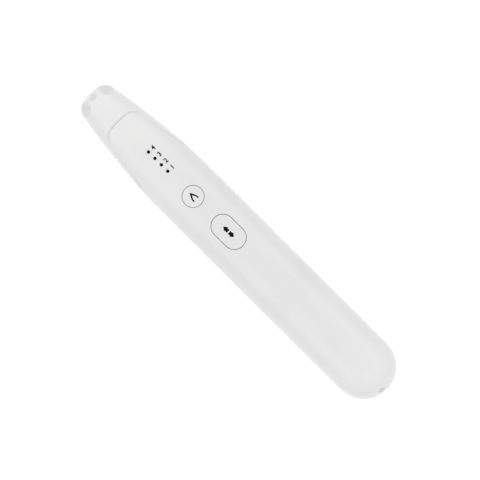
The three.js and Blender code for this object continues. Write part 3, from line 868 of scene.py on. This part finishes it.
screwBoss = {"radius": 2.2, "bottom": 11.0, "hole": 1.15, "well": 2.1, "seat": 4.35, "within": 0.2}
boardBoss = {"radius": 1.8, "bottom": 16.65, "hole": 0.95}
pinEars = {"faces": (5.45, 6.95), "reach": 1.4, "bottom": 17.2, "top": 19.6}
caseScrews = [name for name in frame["nodes"] if name.startswith("case_screw")]
boardScrews = [name for name in frame["nodes"] if name.startswith("board_screw")]


def upperBosses():  # screw bosses that end within the top wall, and the ears that hold the mode key's pin
    mesh = bmesh.new()
    inWall = -skin["wall"] / 2
    for boss, names in ((screwBoss, caseScrews), (boardBoss, boardScrews)):
        diameter, bore = 2 * boss["radius"], boss["hole"] - boss["radius"]
        rings = [(bore, boss["bottom"], 0), (0, boss["bottom"], 0), (0, inWall, 1), (bore, inWall, 1)]
        for name in names:
            ringSolid(mesh, middleOf(name), diameter, diameter, rings + rings[:1], 16)
    pin = middleOf("mode_key_pin")
    obj = draped("bosses", mesh, finishes["case_plastic"])
    ears = bmesh.new()
    for side in (-1, 1):
        near, far = sorted(side * face for face in pinEars["faces"])
        low = (pin.x - pinEars["reach"], near, pinEars["bottom"])
        box(ears, low, (pin.x + pinEars["reach"], far, pinEars["top"]), 0.15)
    combine(obj, inMetres("ears", ears), "UNION")
    return obj


def makeUpperShell():
    shell = fromTree("upperShell", upperShellTree, upperShell)
    combine(shell, upperShellCutter(), "DIFFERENCE")
    combine(shell, windowDish(), "DIFFERENCE")
    combine(shell, upperBosses(), "UNION")
    return fit(smoothed(shell), "casing", "case_plastic", "upper_shell")


def socketCutter():  # the opening in the tail for a plug
    low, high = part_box("socket_sleeve")
    middle = (low + high) / 2 / mm
    width = (high.y - low.y) / mm + 0.7
    height = (high.z - low.z) / mm + 0.6
    mesh = bmesh.new()
    depth = 8
    rings = [(-height / 2, 0, 0), (0, 0, 0), (0, depth, 0), (-height / 2, depth, 0)]
    ringSolid(mesh, (0, 0), width, height, rings, 16)
    turn = Matrix.Rotation(math.pi / 2, 4, "Y") @ Matrix.Rotation(math.pi / 2, 4, "Z")
    mesh.transform(Matrix.Translation((high.x / mm - 3.2, middle.y, middle.z)) @ turn)
    return inMetres("cutter", mesh)


def underside(x, y):  # height of the skin's lower half
    station = x + skin["length"] / 2
    front = max(0, 1 - station / skin["taperEnd"]) ** skin["taperPower"]
    tail = max(0, 1 - (skin["length"] - station) / skin["halfWidth"])
    closing = math.sqrt(max(0, 1 - tail * tail))
    width = skin["halfWidth"] * (1 - skin["widthShrink"] * front) * closing
    depth = skin["bottomDepth"] * (1 - skin["heightShrink"] * front) * closing
    across = min(1, abs(y) / width) ** skin["bottomPower"]
    return skin["axisHeight"] - depth * (1 - across) ** (1 / skin["bottomPower"])


def pillarFoot(centre):  # just inside the highest skin that the pillar stands on
    turns = [k * math.pi / 8 for k in range(16)]
    reach = screwBoss["radius"]
    feet = [underside(centre[0] + reach * math.cos(a), centre[1] + reach * math.sin(a)) for a in turns]
    return max(0.9, max(feet) + screwBoss["within"])


def makeLowerShell():
    shell = fromTree("lowerShell", lowerShellTree, lowerShell)
    combine(shell, socketCutter(), "DIFFERENCE")
    pillars = bmesh.new()
    wells = bmesh.new()
    for name in caseScrews:
        centre = middleOf(name)
        cylinder(pillars, centre, screwBoss["radius"], pillarFoot(centre), 10.7, 40)
        well = screwBoss["well"]
        seat, bore = screwBoss["seat"] + 0.03, screwBoss["hole"] - well
        rings = [(-well, -1, 0), (0.35, -1, 0), (0.35, 0, 0), (0, 0.35, 0), (0, seat, 0)]
        rings += [(bore, seat, 0), (bore, 12, 0), (-well, 12, 0)]
        ringSolid(wells, centre, 2 * well, 2 * well, rings, 24)
    combine(shell, inMetres("pillars", pillars), "UNION")
    combine(shell, inMetres("wells", wells), "DIFFERENCE")
    return fit(smoothed(shell), "casing", "case_plastic", "lower_shell")


def makeNoseCap():
    nose = fromTree("noseCap", noseCapTree, noseCap)
    return fit(smoothed(nose, 20), "casing", "case_plastic", "nose_cap", finish=nosePlastic)


def makeScanKey():
    mesh = bmesh.new()
    diameter, flange = scanKey["diameter"], scanKey["flangeTop"]
    grown = (scanKey["flange"] - diameter) / 2
    stem = scanKey["stemRadius"] - diameter / 2
    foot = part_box("scan_key")[0].z / mm + scanKey["travel"]
    rings = crown(diameter, scanKey["proud"], scanKey["edge"])
    rings += [(0, flange, 0), (grown - 0.1, flange, 0), (grown, flange - 0.1, 0), (grown, flange - 0.6, 0)]
    rings += [(stem, flange - 0.6, 0), (stem, foot, 0), (-diameter / 2, foot, 0)]
    ringSolid(mesh, scanKey["centre"], diameter, diameter, rings, 48)
    key = draped("scanKey", mesh, finishes["key_plastic"])
    return fit(smoothed(key), "scan_button", "key_plastic", "scan_key")


def makeModeKey():
    mesh = bmesh.new()
    rings = crown(modeKey["width"], modeKey["proud"], modeKey["edge"])
    rings += [(0, modeKey["plateBottom"], 0), (-modeKey["width"] / 2, modeKey["plateBottom"], 0)]
    ringSolid(mesh, modeKey["centre"], modeKey["length"], modeKey["width"], rings, 40)
    key = draped("modeKey", mesh, finishes["key_plastic"])
    pin = middleOf("mode_key_pin")
    reach, bottom = modeKey["lugReach"], modeKey["lugBottom"]
    inPlate = modeKey["plateBottom"] + 0.3
    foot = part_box("mode_key")[0].z / mm + modeKey["travel"]
    under = bmesh.new()
    for side in (-1, 1):
        near, far = sorted(side * face for face in modeKey["lugs"])
        box(under, (pin.x - reach, near, bottom), (pin.x + reach, far, inPlate), 0.12)
        dome = middleOf("mode_dome_front" if side < 0 else "mode_dome_rear")
        cylinder(under, dome, modeKey["foot"], foot, inPlate)
    combine(key, inMetres("lugs", under), "UNION")
    bore = bmesh.new()
    cylinder(bore, (0, 0), modeKey["bore"], -6, 6)
    bore.transform(Matrix.Translation(pin) @ Matrix.Rotation(math.pi / 2, 4, "X"))
    combine(key, inMetres("bore", bore), "DIFFERENCE")
    return fit(smoothed(key), "mode_rocker", "key_plastic", "mode_key")


def makeLightGuide():
    mesh = bmesh.new()
    diameter = lamps["diameter"]
    inBar = lamps["barHigh"][2] - 0.2
    for x in lamps["stations"]:
        rings = crown(diameter, 0.02, 0.1, 4) + [(0, inBar, 0), (-diameter / 2, inBar, 0)]
        ringSolid(mesh, (x, 0), diameter, diameter, rings, 16)
    guide = draped("lightGuide", mesh, finishes["smoked_plastic"])
    bar = bmesh.new()
    first, last = (Vector((lamps["stations"][k], 0, 0)) for k in (0, -1))
    box(bar, first + Vector(lamps["barLow"]), last + Vector(lamps["barHigh"]), 0.2)
    combine(guide, inMetres("bar", bar), "UNION")
    return fit(smoothed(guide), "casing", "smoked_plastic", "light_guide")


def makeChargeWindow():
    mesh = bmesh.new()
    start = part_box("charge_window")[0].x / mm
    centre = chargeWindow["centre"]
    radius = chargeWindow["diameter"] / 2
    roundBar(mesh, start, radius, centre.y, centre.z, lambda y, z: tailEnd(y, z) - chargeWindow["sunk"])
    window = inMetres("chargeWindow", mesh)
    return fit(smoothed(window), "casing", "natural_plastic", "charge_window", finish=frostedPlastic)


def fromCurve(name, curve, place):  # a flat curve or text made a closed thin mesh, then put in place
    obj = newObject(name, curve)
    evaluated = obj.evaluated_get(bpy.context.evaluated_depsgraph_get())
    data = bpy.data.meshes.new_from_object(evaluated)
    bpy.data.objects.remove(obj)
    data.transform(place)
    mark = data.attributes.new("onSkin", "FLOAT", "POINT")
    mark.data.foreach_set("value", [1.0] * len(data.vertices))
    return newObject(name, data)


inkDepth = 0.02


def numeral(text, x, y, size):
    curve = bpy.data.curves.new("numeral", "FONT")
    curve.body = text
    curve.size = size
    curve.align_x = "CENTER"
    curve.align_y = "CENTER"
    curve.offset = indicatorNumbers["bold"]
    curve.extrude = inkDepth
    upright = Matrix.Translation((x, y, 0)) @ Matrix.Rotation(math.pi / 2, 4, "Z")
    return fromCurve("numeral", curve, upright)


def outline(points, sharp):  # a closed outline through points, smooth but at the ones named sharp
    curve = bpy.data.curves.new("outline", "CURVE")
    curve.dimensions = "2D"
    curve.fill_mode = "BOTH"
    curve.extrude = inkDepth
    spline = curve.splines.new("BEZIER")
    spline.bezier_points.add(len(points) - 1)
    spline.use_cyclic_u = True
    for k, (point, (x, y)) in enumerate(zip(spline.bezier_points, points)):
        point.co = (x, y, 0)
        kind = "VECTOR" if sharp == "all" or k in sharp else "AUTO"
        point.handle_left_type = point.handle_right_type = kind
    return curve


def joinedPrint(name, parts, body, divisions):
    mesh = bmesh.new()
    for part in parts:
        mesh.from_mesh(part.data)
        bpy.data.objects.remove(part)
    printed = draped(name, mesh, ink, divisions)
    return fit(printed, body, "smoked_plastic", finish=ink)


indicatorNumbers = {"height": 2.75, "across": 2.55, "along": 0.12, "bold": 0.075}


def makeIndicatorNumbers():
    labels = []
    for k, x in enumerate(lamps["stations"]):
        place = (x + indicatorNumbers["along"], indicatorNumbers["across"])
        labels.append(numeral(str(4 - k), *place, indicatorNumbers["height"]))
    return joinedPrint("indicatorNumbers", labels, "casing", 1)


def makeScanIcon():  # a pointer with two curved legs, its tip towards the wand's tip
    half = [(-2.1, 0), (-1.1, 0.54), (0, 1.1), (0.95, 1.38), (1.75, 1.34)]
    half += [(1.8, 0.9), (1.0, 0.82), (0.25, 0.52), (-0.55, 0)]
    points = half + [(x, -y) for x, y in reversed(half[1:-1])]
    curve = outline(points, (0, 8))
    place = Matrix.Translation((scanKey["centre"].x, 0, scanKey["proud"]))
    return joinedPrint("scanIcon", [fromCurve("scanIcon", curve, place)], "scan_button", 1)


def makeModeArrows():  # a pair of short arrows that point away from each other along the wand
    arrow = [(3.0, 0), (1.5, 1.22), (1.5, 0.78), (0.27, 0.78), (0.27, -0.78), (1.5, -0.78), (1.5, -1.22)]
    parts = []
    for side in (1, -1):
        curve = outline([(side * x, y) for x, y in arrow], "all")
        place = Matrix.Translation((modeKey["centre"].x, 0, modeKey["proud"]))
        parts.append(fromCurve("modeArrow", curve, place))
    return joinedPrint("modeArrows", parts, "mode_rocker", 2)


screwSizes = {
    "headRadius": 1.95,
    "headHeight": 1.3,
    "shankRadius": 1.0,
    "length": 10.0,
    "pitch": 0.8,
    "threadDepth": 0.16,
    "recess": 1.1,
    "steps": 28,
    "rows": 150,
}


# One screw as a bar whose radius follows its length: head, plain neck, thread and point.
def screwTree(sizes, material):
    net, size = newTree("screwShape", sizes)
    values = {"Vertices": size["steps"], "Side Segments": size["rows"], "Radius": 1.0, "Depth": 1.0}
    bar = net.add("GeometryNodeMeshCylinder", values)
    x, y, z = net.place()
    along = z + 0.5
    headShare = 0.2
    head = along.ramp(0, headShare)
    shank = along.ramp(headShare, 1)
    inHead = along < headShare + 0.002
    corner = 0.35
    roundOff = (1 - head / corner).math("MAXIMUM", 0)
    headRadius = size["headRadius"] - 0.3 * (1 - (1 - roundOff * roundOff).math("MAXIMUM", 0).math("SQRT"))
    height = head * size["headHeight"] - size["headHeight"] + shank * size["length"]
    turn = y.math("ARCTAN2", x) / math.tau
    wave = height / size["pitch"] + turn
    ridge = abs((wave - wave.math("FLOOR")) * 2 - 1).ramp(0.1, 0.75)
    threaded = shank.ramp(0.1, 0.16) * (1 - shank.ramp(0.9, 1))
    point = 1 - 0.75 * shank.ramp(0.9, 1)
    shankRadius = size["shankRadius"] * point - size["threadDepth"] * (1 - ridge) * threaded
    radius = shankRadius + (headRadius - shankRadius) * inHead
    shape = bent(net, bar, net.vector(x * radius, y * radius, height))
    cross = []
    for wide, deep in ((1.0, 0.3), (0.3, 1.0)):
        span = net.vector(size["recess"] * 2 * wide, size["recess"] * 2 * deep, 1.5)
        cross.append(net.moved(net.cube(span), Translation=net.vector(0, 0, -1 * size["headHeight"])))
    values = {"Mesh 1": shape, "Mesh 2": cross}
    cut = net.add("GeometryNodeMeshBoolean", values, operation="DIFFERENCE", solver="EXACT")
    placed = {"Points": size["geometry"], "Instance": cut}
    copies = net.add("GeometryNodeInstanceOnPoints", placed)
    return endTree(net, copies, material)


def makeScrews(name, nodes, seat, sizes):
    data = bpy.data.meshes.new(name)
    data.from_pydata([(middleOf(node).x, middleOf(node).y, seat) for node in nodes], [], [])
    screws = grow(newObject(name, data), screwTree(screwSizes, finishes["steel"]), {**screwSizes, **sizes})
    return fit(smoothed(screws, 40), "casing", "steel", *nodes)


boardScrewSizes = {
    "headRadius": 1.55,
    "headHeight": 1.0,
    "shankRadius": 0.8,
    "length": 2.8,
    "pitch": 0.5,
    "threadDepth": 0.12,
    "recess": 0.8,
    "rows": 80,
}
boardScrewSeat = 15.55


windingSizes = {"wire": 0.16, "pitch": 0.335, "radius": 4.68, "length": 27.6, "points": 26, "sides": 6}


def windingTree(sizes):  # a single layer of round wire laid turn beside turn
    net, size = newTree("windingShape", sizes)
    values = {
        "Resolution": size["points"],
        "Rotations": size["length"] / size["pitch"],
        "Start Radius": size["radius"],
        "End Radius": size["radius"],
        "Height": size["length"],
    }
    route = net.add("GeometryNodeCurveSpiral", values)
    values = {"Resolution": size["sides"], "Radius": size["wire"]}
    section = net.add("GeometryNodeCurvePrimitiveCircle", values)
    values = {"Curve": route, "Profile Curve": section, "Fill Caps": True}
    wire = net.add("GeometryNodeCurveToMesh", values)
    return endTree(net, wire, finishes["copper"])


def makeWinding():
    low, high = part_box("antenna_winding")
    winding = fromTree("antennaWinding", windingTree, windingSizes)
    start = Vector((low.x + windingSizes["wire"] * mm, 0, (low.z + high.z) / 2))
    winding.data.transform(Matrix.Translation(start) @ Matrix.Rotation(math.pi / 2, 4, "Y"))
    winding.data.shade_smooth()
    return fit(winding, "casing", "copper", "antenna_winding")


legSizes = {
    "count": 10,
    "pitch": 0.5,
    "width": 0.24,
    "thick": 0.12,
    "reach": 0.9,
    "drop": 0.55,
    "side": 2.5,
    "knee": 0.3,
    "footHeight": -0.08,
}


def legsTree(sizes):  # bent tin legs down two sides of a chip
    net, size = newTree("chipLegs", sizes)
    foot = net.cube(net.vector(size["width"], size["reach"], size["thick"]))
    foot = net.moved(foot, Translation=net.vector(0, size["reach"] / 2 + size["side"], size["footHeight"]))
    riser = net.cube(net.vector(size["width"], size["thick"], size["drop"]))
    riser = net.moved(riser, Translation=net.vector(0, size["side"] + size["knee"], size["drop"] / -2))
    leg = net.add("GeometryNodeJoinGeometry", {0: [foot, riser]})
    start = net.vector((size["count"] - 1) * size["pitch"] / -2, 0, 0)
    values = {"Count": size["count"], "Start Location": start, "Offset": net.vector(size["pitch"], 0, 0)}
    line = net.add("GeometryNodeMeshLine", values)
    row = net.add("GeometryNodeInstanceOnPoints", {"Points": line, "Instance": leg})
    both = net.add("GeometryNodeJoinGeometry", {0: [row, net.moved(row, Rotation=(0, 0, math.pi))]})
    return endTree(net, both, finishes["steel"])


def makeChipLegs(name, chip, sizes):
    low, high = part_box(chip)
    span = (high.y - low.y) / mm / 2
    legs = fromTree(name, legsTree, {**legSizes, **sizes, "side": span - 0.2})
    centre = (low + high) / 2
    legs.data.transform(Matrix.Translation((centre.x, centre.y, high.z)))
    return fit(legs, "casing", "steel")


chipParts = {
    "pitch": 2.3,
    "seed": 7,
    "kept": 0.42,
    "length": 13.0,
    "width": 13.0,
    "clear": 2.6,  # the board's screws run down the middle
}
chipBody = (0.62, 0.5, 0.4)
chipEnd = (0.22, 0.52, 0.42)
endReach = 0.42


def chipPartsTree(sizes):  # small capacitors and resistors on a loose grid, some places left empty
    net, size = newTree("smallParts", sizes)
    values = {
        "Size X": size["length"],
        "Size Y": size["width"],
        "Vertices X": size["length"] / size["pitch"],
        "Vertices Y": size["width"] / size["pitch"],
    }
    grid = net.add("GeometryNodeMeshGrid", values)
    fromMiddle = abs(net.place()[1])
    chance = {"Probability": size["kept"], "Seed": size["seed"]}
    kept = net.add("FunctionNodeRandomValue", chance, output=3, data_type="BOOLEAN")
    clear = kept * (fromMiddle > size["clear"])
    ends = [net.moved(net.cube(chipEnd), Translation=(side * endReach, 0, 0)) for side in (-1, 1)]
    part = net.add("GeometryNodeJoinGeometry", {0: [net.cube(chipBody), *ends]})
    quarter = {4: 0, 5: 1, "Seed": size["seed"]}
    turn = net.add("FunctionNodeRandomValue", quarter, output=2, data_type="INT")
    rotation = net.vector(0, 0, turn * (math.pi / 2))
    values = {"Points": grid, "Selection": clear, "Instance": part, "Rotation": rotation}
    copies = net.add("GeometryNodeInstanceOnPoints", values)
    return endTree(net, copies, finishes["chip_plastic"])


def makeSmallParts():
    parts = fromTree("smallParts", chipPartsTree, chipParts)
    middle, hang = 44.5, 0.21  # they hang under the board's rear half
    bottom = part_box("main_board")[0].z
    parts.data.transform(Matrix.Translation((middle * mm, 0, bottom - hang * mm)))
    return fit(parts, "casing", "chip_plastic")


makeUpperShell()
print("upper shell made")
makeLowerShell()
makeNoseCap()
print("lower shell and nose made")
makeScanKey()
makeModeKey()
makeLightGuide()
makeChargeWindow()
print("keys and lamps made")
makeIndicatorNumbers()
makeScanIcon()
makeModeArrows()
print("printing made")
makeScrews("caseScrews", caseScrews, screwBoss["seat"], {})
makeScrews("boardScrews", boardScrews, boardScrewSeat, boardScrewSizes)
makeWinding()
makeChipLegs("readerLegs", "reader_chip", {"count": 8, "pitch": 0.6})
makeChipLegs("processorLegs", "processor_chip", {"count": 12, "pitch": 0.45})
makeSmallParts()
print("screws, winding and small parts made")

slotOf = {entry["node"]: entry["material_slot"] for entry in frame["record"]["subparts"]}
for name, node in frame["nodes"].items():
    if not node.hide_render:
        node.data.materials.clear()
        node.data.materials.append(finishes[slotOf[name]])

studio = {
    "wandTurn": math.radians(44.886),  # the wand lies from the upper left to the lower right of the frame
    "distance": 3.0,
    "frameWidth": 0.194,  # what the frame shows across, at the height of the wand's axis
    "offCentre": (0.00027, 0.0009),
    "world": 0.685,
    "boxHeight": 1.0,
    "side": {"away": 0.75, "size": (1.4, 0.5), "power": 3.8},
    "end": {"away": 1.0, "size": (0.5, 0.9), "power": 2.2},
    "fill": {"away": 0.12, "height": 0.1, "size": (0.06, 0.06)},
    "fillTip": 0.0095,  # two small ones that lift the tip and the tail a little
    "fillTail": 0.006,
    "floorGlow": 0.25,  # the floor is a light table, so the wand throws next to no shadow
}


def makeFloor():
    mesh = bmesh.new()
    bmesh.ops.create_grid(mesh, x_segments=2, y_segments=2, size=3)
    floor = toObject("floor", mesh)
    floor.location.z = -0.00005
    glow = {"Emission Color": (1, 1, 1, 1), "Emission Strength": studio["floorGlow"]}
    constants = {"Specular IOR Level": 0.1, **glow}
    whites = ((0.93,) * 3, (0.95,) * 3)
    pale = mottled("paleFloor", constants, 400.0, whites, (0.85, 0.1), (0, 1), detail=2.0)
    floor.data.materials.append(pale)


def areaLight(name, place, size, power):
    light = bpy.data.lights.new(name, "AREA")
    light.shape = "RECTANGLE"
    light.size, light.size_y = size
    light.energy = power
    lamp = newObject(name, light)
    lamp.location = place
    lamp.rotation_euler = (-Vector(place)).to_track_quat("-Z", "Y").to_euler()
    lamp.visible_camera = False
    return lamp


def makeStudio():
    world = bpy.data.worlds.new("studio")
    bpy.context.scene.world = world
    world.use_nodes = True
    background = world.node_tree.nodes["Background"].inputs
    background["Color"].default_value = (1, 1, 1, 1)
    background["Strength"].default_value = studio["world"]
    side, end, fill = studio["side"], studio["end"], studio["fill"]
    for name, way in (("Right", 1), ("Left", -1)):
        place = (0, way * side["away"], studio["boxHeight"])
        areaLight("softbox" + name, place, side["size"], side["power"])
    for name, way in (("Tip", -1), ("Tail", 1)):
        place = (way * end["away"], 0, studio["boxHeight"])
        areaLight("softbox" + name, place, end["size"], end["power"])
        place = (way * fill["away"], 0, fill["height"])
        lamp = areaLight("fill" + name, place, fill["size"], studio["fill" + name])
        lamp.rotation_euler = (0, 0, 0)


def makeCamera():
    camera = bpy.data.cameras.new("camera")
    axisHeight = skin["axisHeight"] * mm
    camera.sensor_width = 36
    camera.lens = 36 * (studio["distance"] - axisHeight) / studio["frameWidth"]
    camera.clip_start = 0.1
    obj = newObject("camera", camera)
    obj.location = (*studio["offCentre"], studio["distance"])
    obj.rotation_euler = (0, 0, studio["wandTurn"])
    bpy.context.scene.camera = obj


makeFloor()
makeStudio()
makeCamera()
bpy.context.scene.view_settings.view_transform = "Standard"
print("studio set")
